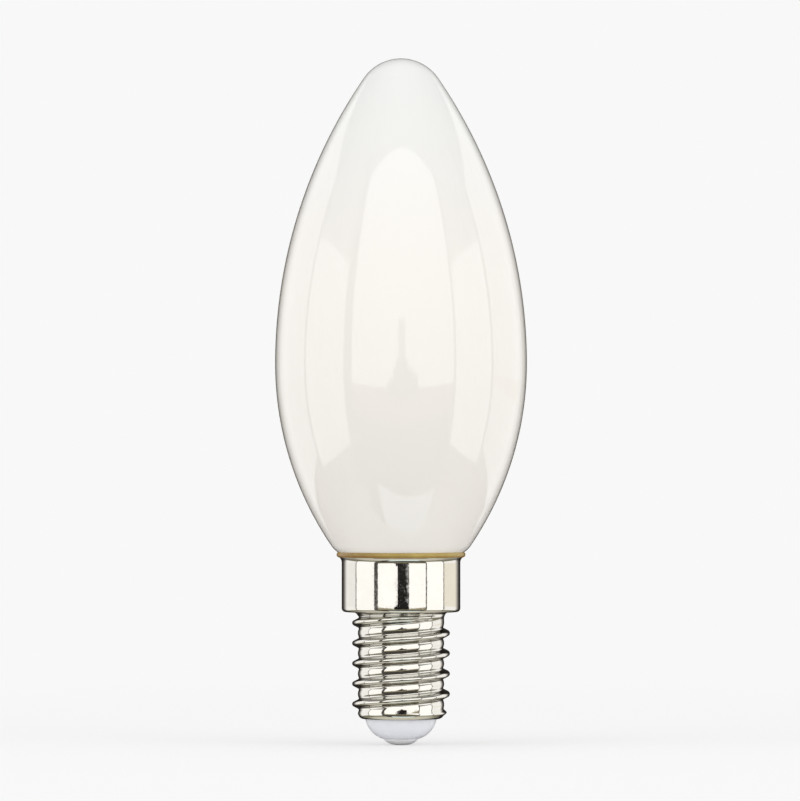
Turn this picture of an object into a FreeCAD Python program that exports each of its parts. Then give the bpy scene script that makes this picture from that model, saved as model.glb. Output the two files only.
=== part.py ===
import FreeCAD, Part
import math
import os
import Sketcher
from FreeCAD import Vector

# A candle lamp with a frosted C35 glass on an E14 screw cap, in millimetres.
# The origin is on the flat of the centre contact and +Z runs up the axis through the glass.

# Driving dimensions: heights are measured from the tip of the centre contact, angles are in degrees
DIMENSIONS = (
    # glass
    ("glass_radius", 17.5),
    ("glass_top", 95.4),
    ("glass_widest_height", 53.0),
    ("glass_tip_radius", 6.27),
    ("glass_seat_arc", 3.4),
    ("glass_seat_inset", 0.65),
    ("glass_lip_clearance", 0.15),
    ("glass_neck_fillet", 1.6),
    ("glass_neck_depth", 4.5),
    # sheet-metal cap
    ("sheet", 0.25),
    ("collar_height", 6.35),
    ("flare_rise", 0.7),
    ("flare_arc", 0.9),
    ("cap_shoulder_start", 17.67),
    ("cap_shoulder_arc", 0.8),
    ("cap_corner_arc", 0.53),
    ("collar_step", 0.92),
    ("curl_centre_height", 4.45),
    ("curl_arc", 0.85),
    ("curl_end_angle", -100.0),
    # rolled E14 thread, right-hand; the run-in and run-out are counted in turns from the +X side
    ("thread_crest_radius", 6.8),
    ("thread_depth", 0.8),
    ("thread_pitch", 2.822),
    ("thread_crest_arc", 0.38),
    ("thread_flank_angle", 64.0),
    ("thread_root_arc", 0.2),
    ("thread_valley_angle", 24.0),
    ("thread_start_drop", 0.2),
    ("thread_end_rise", 0.95),
    ("thread_run_in_start", -0.3),
    ("thread_run_in_turns", 0.6),
    ("thread_run_out_turns", 0.5),
    ("band_start_angle", -56.44),
    ("band_end_angle", 58.83),
    ("band_fade", 0.6),
    # cement between the glass and the collar
    ("cement_gap", 0.45),
    ("cement_bead_overhang", 0.38),
    ("cement_bead_arc", 0.4),
    ("cement_bead_end_angle", 60.0),
    ("cement_under_glass", 0.5),
    # insulator
    ("insulator_foot_margin", 0.2),
    ("insulator_dome_arc", 3.5),
    ("insulator_throat_clearance", 0.07),
    ("insulator_throat_drop", 0.95),
    ("insulator_seat_end_angle", -45.0),
    ("insulator_flange_rise", 1.75),
    # centre contact
    ("contact_flat_radius", 0.7),
    ("contact_dome_arc", 2.6),
    ("contact_rim_radius", 2.3),
    ("contact_rim_bottom", 0.66),
    ("contact_rim_thickness", 0.19),
    ("contact_shank_radius", 0.75),
    ("contact_head_radius", 1.15),
    ("contact_head_thickness", 0.4),
)

# Sizes that follow from those above, each from the piece that carries it
FOLLOWING = (
    ("thread_core_radius", "thread_crest_radius - thread_depth"),
    ("thread_first_crest", "curl_centre_height - thread_start_drop"),
    ("thread_turns", "(cap_shoulder_start + thread_end_rise - thread_first_crest) / thread_pitch"),
    ("thread_band_bottom", "curl_centre_height + (curl_arc - sheet) * sin(band_start_angle)"),
    ("thread_band_top", "cap_shoulder_start + cap_shoulder_arc * sin(band_end_angle)"),
    ("collar_radius", "thread_core_radius + cap_shoulder_arc + collar_step + cap_corner_arc"),
    ("collar_foot_height", "cap_shoulder_start + cap_shoulder_arc + cap_corner_arc"),
    ("flare_start", "collar_foot_height + collar_height"),
    ("lip_height", "flare_start + flare_rise"),
    ("lip_radius", "collar_radius + flare_arc - sqrt(flare_arc^2 - flare_rise^2)"),
    ("lip_bore", "collar_radius + flare_arc - sqrt((flare_arc + sheet)^2 - flare_rise^2)"),
    ("glass_neck_radius", "collar_radius - sheet - cement_gap"),
    ("glass_neck_end", "flare_start - glass_neck_depth"),
    ("glass_seat_centre_radius", "glass_neck_radius - glass_seat_inset"),
    ("glass_seat_centre_height", "lip_height + glass_lip_clearance + glass_seat_arc"),
    ("cement_bead_radius", "lip_radius + cement_bead_overhang"),
    ("contact_rim_top", "contact_rim_bottom + contact_rim_thickness"),
    ("insulator_foot_radius", "contact_rim_radius + insulator_foot_margin"),
    ("curl_centre_radius", "thread_core_radius - curl_arc"),
    ("curl_end_radius", "curl_centre_radius + curl_arc * cos(curl_end_angle)"),
    ("insulator_throat_radius", "curl_end_radius - insulator_throat_clearance"),
    ("insulator_throat_height", "curl_centre_height - insulator_throat_drop"),
    ("insulator_top", "curl_centre_height + insulator_flange_rise"),
)

# Samples of the thread's surface, around one turn and along one pitch
THREAD_STEPS_AROUND = 24
THREAD_STEPS_PER_PITCH = 24
# How far inside the band's ends its slope is taken, and how far apart two joined faces may be
SLOPE_STEP = 0.001
JOIN_TOLERANCE = 0.0002
FULL_TURN = 360.0
LAMP_AXIS = (Vector(0, 0, 0), Vector(0, 0, 1))

# A sketch's fixed geometry, the points of an edge, and the side to which an edge bulges
ORIGIN_POINT = HORIZONTAL_AXIS = -1
VERTICAL_AXIS = HORIZONTAL_AXIS - 1
START, END, CENTRE = range(1, 4)
STRAIGHT, LEFT, RIGHT = "straight", "left", "right"

doc = FreeCAD.newDocument("candle_lamp")


def dimension_sheet():
    """The spreadsheet of sizes, one alias a row: the driving dimensions, then what follows from them."""
    table = doc.addObject("Spreadsheet::Sheet", "sizes")
    following = [(alias, f"={formula}") for alias, formula in FOLLOWING]
    for row, (alias, content) in enumerate([*DIMENSIONS, *following], start=1):
        table.set(f"A{row}", alias)
        table.set(f"B{row}", str(content))
        table.setAlias(f"B{row}", alias)
    doc.recompute()
    return table


sheet = dimension_sheet()


def size(alias):
    """The value of one size."""
    return float(sheet.get(alias))


# Sketches and turned bodies


def add_body(label):
    body = doc.addObject("PartDesign::Body", label)
    body.Label = label
    return body


def axial_sketch(body):
    """A sketch on the body's XZ plane: its vertical axis is the lamp's axis."""
    sketch = body.newObject("Sketcher::SketchObject", f"{body.Label}_outline")
    plane = [item for item in body.Origin.OriginFeatures if item.Role == "XZ_Plane"][0]
    sketch.AttachmentSupport = [(plane, "")]
    sketch.MapMode = "FlatFace"
    return sketch


def turn_about_axis(body, sketch):
    feature = body.newObject("PartDesign::Revolution", f"{body.Label}_turn")
    feature.Profile = sketch
    feature.ReferenceAxis = (sketch, ["V_Axis"])
    feature.Angle = FULL_TURN
    doc.recompute()


def bind(sketch, kind, where, name, expression):
    """A dimension of the sketch, driven by the spreadsheet."""
    value = sketch.evalExpression(expression)
    index = sketch.addConstraint(Sketcher.Constraint(kind, *where, float(value)))
    sketch.renameConstraint(index, name)
    sketch.setExpression(f"Constraints.{name}", expression)


def direction(centre, target):
    """The direction from a centre to a target, in radians from the sketch's horizontal."""
    return math.atan2(target.y - centre.y, target.x - centre.x)


def circle_arc(centre, radius, first, last):
    """A sketch arc, anticlockwise between two directions in radians."""
    return Part.ArcOfCircle(Part.Circle(centre, Vector(0, 0, 1), radius), first, last)


def edge_between(first, last, side, radius):
    """A sketch edge between two places, with the ends of it that lie there."""
    if side == STRAIGHT:
        return Part.LineSegment(first, last), START, END
    chord = last - first
    left = Vector(-chord.y, chord.x, 0).normalize()
    depth = math.sqrt(radius**2 - (chord.Length / 2) ** 2)
    if side == RIGHT:
        centre = (first + last) / 2 + left * depth
        return circle_arc(centre, radius, direction(centre, first), direction(centre, last)), START, END
    centre = (first + last) / 2 - left * depth
    return circle_arc(centre, radius, direction(centre, last), direction(centre, first)), END, START


def turned_body(label, corners):
    """A body turned about the axis, from corners: name, r, z, and the side and arc of the edge after it."""
    body = add_body(label)
    sketch = axial_sketch(body)
    places = [Vector(sketch.evalExpression(r), sketch.evalExpression(z), 0) for _, r, z, _, _ in corners]
    edges = []
    for number, (_, _, _, side, arc) in enumerate(corners):
        following = places[(number + 1) % len(places)]
        shape, first, last = edge_between(places[number], following, side, sketch.evalExpression(arc))
        edges.append((sketch.addGeometry(shape, False), first, last))
    for number, (name, r, z, side, arc) in enumerate(corners):
        edge, first, _ = edges[number]
        previous, _, previous_last = edges[number - 1]
        sketch.addConstraint(Sketcher.Constraint("Coincident", previous, previous_last, edge, first))
        if r == "0":
            sketch.addConstraint(Sketcher.Constraint("PointOnObject", edge, first, VERTICAL_AXIS))
        else:
            bind(sketch, "DistanceX", (ORIGIN_POINT, START, edge, first), f"{name}_r", r)
        if z == "0":
            sketch.addConstraint(Sketcher.Constraint("PointOnObject", edge, first, HORIZONTAL_AXIS))
        else:
            bind(sketch, "DistanceY", (ORIGIN_POINT, START, edge, first), f"{name}_z", z)
        if side != STRAIGHT:
            bind(sketch, "Radius", (edge,), f"{name}_arc", arc)
    turn_about_axis(body, sketch)
    return body


# The glass: a neck, a seat, two long flanks and a small round tip, all tangent


def flank_radius(widest, centre, radius):
    """The radius of a flank: level with its own centre at the widest place, and tangent to a smaller arc."""
    reach = widest - centre
    return (reach.x**2 + reach.y**2 - radius**2) / (2 * (reach.x - radius))


def glass_bulb():
    body = add_body("glass_bulb")
    sketch = axial_sketch(body)
    widest = Vector(size("glass_radius"), size("glass_widest_height"), 0)

    tip_radius = size("glass_tip_radius")
    tip_centre = Vector(0, size("glass_top") - tip_radius, 0)
    upper_arc = flank_radius(widest, tip_centre, tip_radius)
    upper_centre = widest - Vector(upper_arc, 0, 0)
    tip_direction = direction(upper_centre, tip_centre)

    seat_arc = size("glass_seat_arc")
    seat_centre = Vector(size("glass_seat_centre_radius"), size("glass_seat_centre_height"), 0)
    lower_arc = flank_radius(widest, seat_centre, seat_arc)
    lower_centre = widest - Vector(lower_arc, 0, 0)
    flank_end_direction = direction(lower_centre, seat_centre)

    # the neck's fillet touches the seat's arc and the neck
    fillet_r = size("glass_neck_radius") + size("glass_neck_fillet")
    fillet_drop = math.sqrt((seat_arc + size("glass_neck_fillet")) ** 2 - (fillet_r - seat_centre.x) ** 2)
    fillet_centre = Vector(fillet_r, seat_centre.y - fillet_drop, 0)

    foot = Vector(0, size("glass_neck_end"), 0)
    neck_foot = Vector(size("glass_neck_radius"), size("glass_neck_end"), 0)
    neck_head = Vector(size("glass_neck_radius"), fillet_centre.y, 0)
    top = Vector(0, size("glass_top"), 0)
    fillet_directions = (direction(fillet_centre, seat_centre), math.pi)
    seat_directions = (direction(seat_centre, fillet_centre), flank_end_direction)
    outline = (
        Part.LineSegment(foot, neck_foot),
        Part.LineSegment(neck_foot, neck_head),
        circle_arc(fillet_centre, size("glass_neck_fillet"), *fillet_directions),
        circle_arc(seat_centre, seat_arc, *seat_directions),
        circle_arc(lower_centre, lower_arc, flank_end_direction, 0),
        circle_arc(upper_centre, upper_arc, 0, tip_direction),
        circle_arc(tip_centre, tip_radius, tip_direction, math.pi / 2),
        Part.LineSegment(top, foot),
    )
    base, neck, fillet, seat, lower, upper, tip, axis = [sketch.addGeometry(edge, False) for edge in outline]

    for rule in (
        ("Coincident", base, END, neck, START),
        ("Tangent", neck, END, fillet, END),
        ("Tangent", fillet, START, seat, START),
        ("Tangent", seat, END, lower, START),
        ("Tangent", lower, END, upper, START),
        ("Tangent", upper, END, tip, START),
        ("Coincident", tip, END, axis, START),
        ("Coincident", axis, END, base, START),
        ("Horizontal", base),
        ("Vertical", neck),
        ("Horizontal", lower, CENTRE, lower, END),
        ("PointOnObject", base, START, VERTICAL_AXIS),
        ("PointOnObject", tip, END, VERTICAL_AXIS),
        ("PointOnObject", tip, CENTRE, VERTICAL_AXIS),
    ):
        sketch.addConstraint(Sketcher.Constraint(*rule))
    for kind, where, name in (
        ("DistanceX", (ORIGIN_POINT, START, lower, END), "glass_radius"),
        ("DistanceY", (ORIGIN_POINT, START, lower, END), "glass_widest_height"),
        ("DistanceY", (ORIGIN_POINT, START, tip, END), "glass_top"),
        ("DistanceX", (ORIGIN_POINT, START, neck, START), "glass_neck_radius"),
        ("DistanceY", (ORIGIN_POINT, START, neck, START), "glass_neck_end"),
        ("DistanceX", (ORIGIN_POINT, START, seat, CENTRE), "glass_seat_centre_radius"),
        ("DistanceY", (ORIGIN_POINT, START, seat, CENTRE), "glass_seat_centre_height"),
        ("Radius", (tip,), "glass_tip_radius"),
        ("Radius", (seat,), "glass_seat_arc"),
        ("Radius", (fillet,), "glass_neck_fillet"),
    ):
        bind(sketch, kind, where, name, f"sizes.{name}")
    turn_about_axis(body, sketch)
    return body


# The cement: a ring between the neck and the collar, with a bead squeezed out over the lip

COLLAR_BORE = "sizes.collar_radius - sizes.sheet"
FLARE_INNER_ARC = "sizes.flare_arc + sizes.sheet"
BEAD_CENTRE_R = "sizes.cement_bead_radius - sizes.cement_bead_arc"
BEAD_END_R = f"{BEAD_CENTRE_R} + sizes.cement_bead_arc * cos(sizes.cement_bead_end_angle)"
BEAD_END_Z = "sizes.lip_height + sizes.cement_bead_arc * (1 + sin(sizes.cement_bead_end_angle))"
CEMENT_INNER_R = "sizes.glass_neck_radius - sizes.cement_under_glass"


def basing_cement(glass):
    ring = turned_body(
        "cement_ring",
        (
            ("inner_foot", CEMENT_INNER_R, "sizes.glass_neck_end", STRAIGHT, "0"),
            ("outer_foot", COLLAR_BORE, "sizes.glass_neck_end", STRAIGHT, "0"),
            ("flare_foot", COLLAR_BORE, "sizes.flare_start", LEFT, FLARE_INNER_ARC),
            ("lip_inside", "sizes.lip_bore", "sizes.lip_height", STRAIGHT, "0"),
            ("bead_foot", BEAD_CENTRE_R, "sizes.lip_height", RIGHT, "sizes.cement_bead_arc"),
            ("bead_end", BEAD_END_R, BEAD_END_Z, STRAIGHT, "0"),
            ("inner_head", CEMENT_INNER_R, BEAD_END_Z, STRAIGHT, "0"),
        ),
    )
    cement = doc.addObject("Part::Cut", "basing_cement")
    cement.Label = "basing_cement"
    cement.Base = ring
    cement.Tool = glass
    doc.recompute()
    return cement


# The screw cap: one piece of drawn sheet from the flared lip to the curled edge, with the thread rolled in


def fade(share):
    """A smooth rise from 0 to 1."""
    share = min(max(share, 0), 1)
    return share * share * (3 - 2 * share)


def thread_radius(offset, inset):
    """The thread's section at an offset in pitches from a crest: crest arc, flank, root arc, full valley."""
    half_pitch, depth = size("thread_pitch") / 2, size("thread_depth")
    crest_arc, root_arc = size("thread_crest_arc"), size("thread_root_arc")
    flank, valley = math.radians(size("thread_flank_angle")), math.radians(size("thread_valley_angle"))
    # the flank's length and the valley's arc close the section over half a pitch and the thread's depth
    along = half_pitch - (crest_arc + root_arc) * math.sin(flank) - root_arc * math.sin(valley)
    drop = depth - (crest_arc + root_arc) * (1 - math.cos(flank)) + root_arc * (1 - math.cos(valley))
    spread = math.cos(flank) * (1 - math.cos(valley)) + math.sin(flank) * math.sin(valley)
    valley_arc = (along * math.sin(flank) - drop * math.cos(flank)) / spread

    valley_centre = size("thread_core_radius") - valley_arc
    root_along = half_pitch - (valley_arc + root_arc) * math.sin(valley)
    root_centre = valley_centre + (valley_arc + root_arc) * math.cos(valley)
    crest_centre = size("thread_crest_radius") - crest_arc

    reach = abs(offset) * size("thread_pitch")
    if reach <= (crest_arc - inset) * math.sin(flank):
        return crest_centre + math.sqrt((crest_arc - inset) ** 2 - reach**2)
    if reach <= root_along - (root_arc + inset) * math.sin(flank):
        top = crest_centre + (crest_arc - inset) * math.cos(flank)
        return top - (reach - (crest_arc - inset) * math.sin(flank)) * math.tan(flank)
    if reach <= root_along + (root_arc + inset) * math.sin(valley):
        return root_centre - math.sqrt((root_arc + inset) ** 2 - (reach - root_along) ** 2)
    return valley_centre + math.sqrt((valley_arc - inset) ** 2 - (half_pitch - reach) ** 2)


def band_radius(height, inset):
    """The sheet without its thread: the curl's arc, the core's cylinder and the shoulder's arc."""
    core = size("thread_core_radius")
    if height < size("curl_centre_height"):
        drop = size("curl_centre_height") - height
        return size("curl_centre_radius") + math.sqrt((size("curl_arc") - inset) ** 2 - drop**2)
    if height > size("cap_shoulder_start"):
        arc = size("cap_shoulder_arc")
        return core + arc - math.sqrt((arc + inset) ** 2 - (height - size("cap_shoulder_start")) ** 2)
    return core - inset


def thread_point(turn, height, inset):
    """A point of the sheet's face: the inset is 0 outside and the sheet's thickness inside."""
    crests_up = (height - size("thread_first_crest")) / size("thread_pitch") - turn
    nearest = round(crests_up)
    turns_along = turn + nearest
    run_in = fade((turns_along - size("thread_run_in_start")) / size("thread_run_in_turns"))
    run_out = fade((size("thread_turns") - turns_along) / size("thread_run_out_turns"))
    from_bottom = fade((height - size("thread_band_bottom")) / size("band_fade"))
    from_top = fade((size("thread_band_top") - height) / size("band_fade"))
    ridge = thread_radius(crests_up - nearest, inset) - (size("thread_core_radius") - inset)
    radius = band_radius(height, inset) + ridge * run_in * run_out * from_bottom * from_top
    angle = 2 * math.pi * turn
    return Vector(radius * math.cos(angle), radius * math.sin(angle), height)


def thread_face(inset):
    """One smooth face around the whole threaded band: curves fitted up the band, then around it."""
    bottom, top = size("thread_band_bottom"), size("thread_band_top")
    steps_up = round((top - bottom) / size("thread_pitch") * THREAD_STEPS_PER_PITCH)
    heights = [bottom + (top - bottom) * step / steps_up for step in range(steps_up + 1)]
    turns = [step / THREAD_STEPS_AROUND for step in range(THREAD_STEPS_AROUND + 1)]
    upright = []
    for turn in turns[:-1]:
        points = [thread_point(turn, height, inset) for height in heights]
        slope_at_bottom = (thread_point(turn, bottom + SLOPE_STEP, inset) - points[0]) / SLOPE_STEP
        slope_at_top = (points[-1] - thread_point(turn, top - SLOPE_STEP, inset)) / SLOPE_STEP
        curve = Part.BSplineCurve()
        ends = {"InitialTangent": slope_at_bottom, "FinalTangent": slope_at_top, "Scale": False}
        curve.interpolate(Points=points, Parameters=heights, **ends)
        upright.append(curve)
    around = []
    for level in range(1, upright[0].NbPoles + 1):
        curve = Part.BSplineCurve()
        level_points = [rib.getPole(level) for rib in upright]
        curve.interpolate(Points=level_points, Parameters=turns, PeriodicFlag=True)
        around.append(curve)
    poles = [[ring.getPole(step) for ring in around] for step in range(1, around[0].NbPoles + 1)]
    surface = Part.BSplineSurface()
    surface.buildFromPolesMultsKnots(
        poles,
        around[0].getMultiplicities(),
        upright[0].getMultiplicities(),
        around[0].getKnots(),
        upright[0].getKnots(),
        True,
        False,
        around[0].Degree,
        upright[0].Degree,
    )
    return surface.toShape()


def section_point(r, z, radius, angle):
    """A point of the cap's section, on a circle about (r, z) at an angle in degrees."""
    turn = math.radians(angle)
    return Vector(r + radius * math.cos(turn), 0, z + radius * math.sin(turn))


def section_arc(r, z, radius, first, last):
    stops = (first, (first + last) / 2, last)
    return Part.Arc(*[section_point(r, z, radius, angle) for angle in stops]).toShape()


def cap_wall(inset):
    """The edges of the cap's section on one face of the sheet, apart from the threaded band."""
    shoulder_r = size("thread_core_radius") + size("cap_shoulder_arc")
    shoulder_z = size("cap_shoulder_start")
    shoulder = size("cap_shoulder_arc") + inset
    corner = size("cap_corner_arc") - inset
    corner_r = shoulder_r + size("collar_step")
    corner_z = size("collar_foot_height")
    step_z = shoulder_z + shoulder
    flare_r = size("collar_radius") + size("flare_arc")
    flare = size("flare_arc") + inset
    curl = size("curl_arc") - inset
    curl_r = size("curl_centre_radius")
    band_top = 180 - math.degrees(math.asin((size("thread_band_top") - shoulder_z) / shoulder))
    lip = 180 - math.degrees(math.asin(size("flare_rise") / flare))
    band_bottom = math.degrees(math.asin((size("thread_band_bottom") - size("curl_centre_height")) / curl))
    collar_foot = Vector(size("collar_radius") - inset, 0, corner_z)
    collar_head = Vector(size("collar_radius") - inset, 0, size("flare_start"))
    edges = (
        section_arc(curl_r, size("curl_centre_height"), curl, size("curl_end_angle"), band_bottom),
        section_arc(shoulder_r, shoulder_z, shoulder, band_top, 90),
        Part.makeLine(Vector(shoulder_r, 0, step_z), Vector(corner_r, 0, step_z)),
        section_arc(corner_r, corner_z, corner, -90, 0),
        Part.makeLine(collar_foot, collar_head),
        section_arc(flare_r, size("flare_start"), flare, 180, lip),
    )
    curl_end = section_point(curl_r, size("curl_centre_height"), curl, size("curl_end_angle"))
    lip_end = section_point(flare_r, size("flare_start"), flare, lip)
    return edges, curl_end, lip_end


def screw_cap():
    outer_edges, outer_curl_end, outer_lip = cap_wall(0)
    inner_edges, inner_curl_end, inner_lip = cap_wall(size("sheet"))
    rims = (Part.makeLine(inner_lip, outer_lip), Part.makeLine(inner_curl_end, outer_curl_end))
    faces = [thread_face(0), thread_face(size("sheet"))]
    for edge in outer_edges + inner_edges + rims:
        faces += edge.revolve(*LAMP_AXIS, FULL_TURN).Faces
    skin, _ = faces[0].generalFuse(faces[1:], JOIN_TOLERANCE)
    skin.sewShape()
    if len(skin.Shells) != 1 or not skin.Shells[0].isClosed():
        raise RuntimeError("the faces of screw_cap don't close")
    solid = Part.Solid(skin.Shells[0])
    if solid.Volume < 0:
        solid.reverse()
    cap = doc.addObject("Part::Feature", "screw_cap")
    cap.Label = "screw_cap"
    cap.Shape = solid
    cap.Placement = FreeCAD.Placement()
    return cap


# The insulator: a dome whose flange sits in the cap's curl, with a hole for the contact

SEAT_ARC = "sizes.curl_arc - sizes.sheet"
SEAT_START_R = f"sizes.curl_centre_radius + ({SEAT_ARC}) * cos(sizes.curl_end_angle)"
SEAT_START_Z = f"sizes.curl_centre_height + ({SEAT_ARC}) * sin(sizes.curl_end_angle)"
SEAT_END_R = f"sizes.curl_centre_radius + ({SEAT_ARC}) * cos(sizes.insulator_seat_end_angle)"
SEAT_END_Z = f"sizes.curl_centre_height + ({SEAT_ARC}) * sin(sizes.insulator_seat_end_angle)"
THROAT_R = "sizes.insulator_throat_radius"
FOOT = ("sizes.insulator_foot_radius", "sizes.contact_rim_top")


def insulator():
    return turned_body(
        "insulator",
        (
            ("hole_foot", "sizes.contact_shank_radius", "sizes.contact_rim_top", STRAIGHT, "0"),
            ("foot", *FOOT, RIGHT, "sizes.insulator_dome_arc"),
            ("throat_foot", THROAT_R, "sizes.insulator_throat_height", STRAIGHT, "0"),
            ("throat_head", THROAT_R, SEAT_START_Z, STRAIGHT, "0"),
            ("seat_start", SEAT_START_R, SEAT_START_Z, RIGHT, SEAT_ARC),
            ("seat_end", SEAT_END_R, SEAT_END_Z, STRAIGHT, "0"),
            ("flange_head", SEAT_END_R, "sizes.insulator_top", STRAIGHT, "0"),
            ("hole_head", "sizes.contact_shank_radius", "sizes.insulator_top", STRAIGHT, "0"),
        ),
    )


# The centre contact: a domed rivet through the insulator, its head closed over the top

HEAD_TOP = "sizes.insulator_top + sizes.contact_head_thickness"


def centre_contact():
    return turned_body(
        "centre_contact",
        (
            ("tip", "0", "0", STRAIGHT, "0"),
            ("flat_edge", "sizes.contact_flat_radius", "0", RIGHT, "sizes.contact_dome_arc"),
            ("rim_foot", "sizes.contact_rim_radius", "sizes.contact_rim_bottom", STRAIGHT, "0"),
            ("rim_head", "sizes.contact_rim_radius", "sizes.contact_rim_top", STRAIGHT, "0"),
            ("shank_foot", "sizes.contact_shank_radius", "sizes.contact_rim_top", STRAIGHT, "0"),
            ("shank_head", "sizes.contact_shank_radius", "sizes.insulator_top", STRAIGHT, "0"),
            ("head_foot", "sizes.contact_head_radius", "sizes.insulator_top", STRAIGHT, "0"),
            ("head_rim", "sizes.contact_head_radius", HEAD_TOP, STRAIGHT, "0"),
            ("head_top", "0", HEAD_TOP, STRAIGHT, "0"),
        ),
    )


# Build, check and write the pieces

glass = glass_bulb()
pieces = [glass, basing_cement(glass), screw_cap(), insulator(), centre_contact()]
doc.recompute()
for item in doc.Objects:
    if "Invalid" in item.State or "Error" in item.State:
        raise RuntimeError(f"{item.Label} failed to build")
os.makedirs("parts", exist_ok=True)
for piece in pieces:
    if piece.Shape.isNull() or not piece.Shape.isValid() or len(piece.Shape.Solids) != 1:
        raise RuntimeError(f"{piece.Label} isn't one valid solid")
    piece.Shape.exportStep(f"parts/{piece.Label}.step")
    print(piece.Label, round(piece.Shape.Volume, 2))
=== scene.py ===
import math

import bpy
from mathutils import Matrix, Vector


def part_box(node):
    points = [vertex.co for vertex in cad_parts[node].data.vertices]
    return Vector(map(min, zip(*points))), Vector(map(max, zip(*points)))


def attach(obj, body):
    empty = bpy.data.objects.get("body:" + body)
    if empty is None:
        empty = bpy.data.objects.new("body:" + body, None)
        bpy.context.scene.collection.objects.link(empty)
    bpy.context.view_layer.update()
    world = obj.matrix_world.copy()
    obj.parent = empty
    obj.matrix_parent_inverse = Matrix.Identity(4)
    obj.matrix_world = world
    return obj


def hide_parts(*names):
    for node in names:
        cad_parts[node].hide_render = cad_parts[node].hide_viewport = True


bl_info = {
    "name": "Candle Lamp",
    "version": (1, 0, 0),
    "blender": (4, 5, 0),
    "location": "View3D > Sidebar > Candle Lamp",
    "description": "Builds a frosted candle lamp with a small screw cap, and the studio it is shown in",
    "category": "Add Mesh",
}

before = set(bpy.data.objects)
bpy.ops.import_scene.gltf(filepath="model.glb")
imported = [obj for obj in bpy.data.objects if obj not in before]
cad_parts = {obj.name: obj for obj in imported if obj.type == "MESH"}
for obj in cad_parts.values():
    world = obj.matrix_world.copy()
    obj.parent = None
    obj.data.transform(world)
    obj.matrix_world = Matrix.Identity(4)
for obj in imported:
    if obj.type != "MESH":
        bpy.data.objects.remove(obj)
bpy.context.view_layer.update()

MM = 0.001
FULL_TURN = 2 * math.pi
GLASS_LOW, GLASS_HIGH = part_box("glass_bulb")
CAP_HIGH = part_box("screw_cap")[1]
CEMENT_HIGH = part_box("basing_cement")[1]
INSULATOR_LOW, INSULATOR_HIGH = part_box("insulator")
CONTACT_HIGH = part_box("centre_contact")[1]
# Points nearer than this are one point
MERGE_DISTANCE = 1e-7


def length(name, description, default):
    return bpy.props.FloatProperty(
        name=name,
        description=description,
        default=default,
        min=0.0,
        precision=5,
        subtype="DISTANCE",
        unit="LENGTH",
    )


def colour(name, description, default):
    return bpy.props.FloatVectorProperty(
        name=name, description=description, default=default, size=3, min=0.0, max=1.0, subtype="COLOR"
    )


def turn(name, description, degrees):
    return bpy.props.FloatProperty(
        name=name, description=description, default=math.radians(degrees), subtype="ANGLE", unit="ROTATION"
    )


class CANDLE_PG_glass(bpy.types.PropertyGroup):
    """Sizes of the glass"""

    radius: length("Radius", "Half the glass's width where it is widest", GLASS_HIGH[0])
    top: length("Top", "Height of the tip", GLASS_HIGH[2])
    widest: length("Widest height", "Height at which the glass is widest", 53.0 * MM)
    tip_arc: length("Tip arc", "Radius of the round tip", 6.27 * MM)
    seat_arc: length("Seat arc", "Radius of the turn from the flank to the neck", 3.4 * MM)
    seat_centre_radius: length("Seat centre radius", "Distance of that arc's centre from the axis", 6.9 * MM)
    seat_centre_height: length("Seat centre height", "Height of the seat arc's centre", 29.6 * MM)
    neck_radius: length("Neck radius", "Radius of the neck inside the collar", 7.55 * MM)
    neck_fillet: length("Neck fillet", "Radius between the seat and the neck", 1.6 * MM)
    neck_end: length("Neck end", "Height at which the neck ends", GLASS_LOW[2])


class CANDLE_PG_cap(bpy.types.PropertyGroup):
    """Sizes of the screw cap"""

    sheet: length("Sheet", "Thickness of the metal", 0.25 * MM)
    core_radius: length("Core radius", "Radius of the cap between the crests of the thread", 6.0 * MM)
    crest_radius: length("Crest radius", "Radius of the cap at the crests of the thread", 6.8 * MM)
    pitch: length("Pitch", "Rise of the thread in one turn", 2.822 * MM)
    crest_arc: length("Crest arc", "Radius of the thread's crests", 0.38 * MM)
    flank: turn("Flank", "Slope of the thread's flanks from the axis", 64)
    root_arc: length("Root arc", "Radius of the hollows beside the crests", 0.2 * MM)
    valley: turn("Valley", "Slope at which the full valleys leave the hollows", 24)
    first_crest: length("First crest", "Height of the thread's first crest on the right", 4.25 * MM)
    run_in_start: bpy.props.FloatProperty(
        name="Run-in start", description="Turn at which the thread starts to rise", default=-0.3
    )
    run_in_turns: bpy.props.FloatProperty(
        name="Run-in", description="Turns over which the thread rises", default=0.6, min=0.05
    )
    turns: bpy.props.FloatProperty(
        name="Turns", description="Turn at which the thread has sunk", default=5.092
    )
    run_out_turns: bpy.props.FloatProperty(
        name="Run-out", description="Turns over which the thread sinks", default=0.5, min=0.05
    )
    band_bottom: length("Band bottom", "Height at which the threaded band starts", 3.95 * MM)
    band_top: length("Band top", "Height at which the threaded band ends", 18.354 * MM)
    band_fade: length("Band fade", "Height over which the thread fades at the band's ends", 0.6 * MM)
    shoulder_start: length("Shoulder start", "Height at which the cap starts to widen", 17.67 * MM)
    shoulder_arc: length("Shoulder arc", "Radius of the hollow under the collar", 0.8 * MM)
    step: length("Step", "Width of the level ring under the collar", 0.92 * MM)
    corner_arc: length("Corner arc", "Radius of the collar's lower corner", 0.53 * MM)
    flare_start: length("Flare start", "Height at which the collar flares out", 25.35 * MM)
    flare_arc: length("Flare arc", "Radius of the flare", 0.9 * MM)
    lip: length("Lip", "Height of the collar's lip", CAP_HIGH[2])
    curl_arc: length("Curl arc", "Radius of the edge curled under the insulator", 0.85 * MM)
    curl_height: length("Curl height", "Height of the curl's centre", 4.45 * MM)
    curl_end: turn("Curl end", "Angle at which the curled edge ends", -100)


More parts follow.
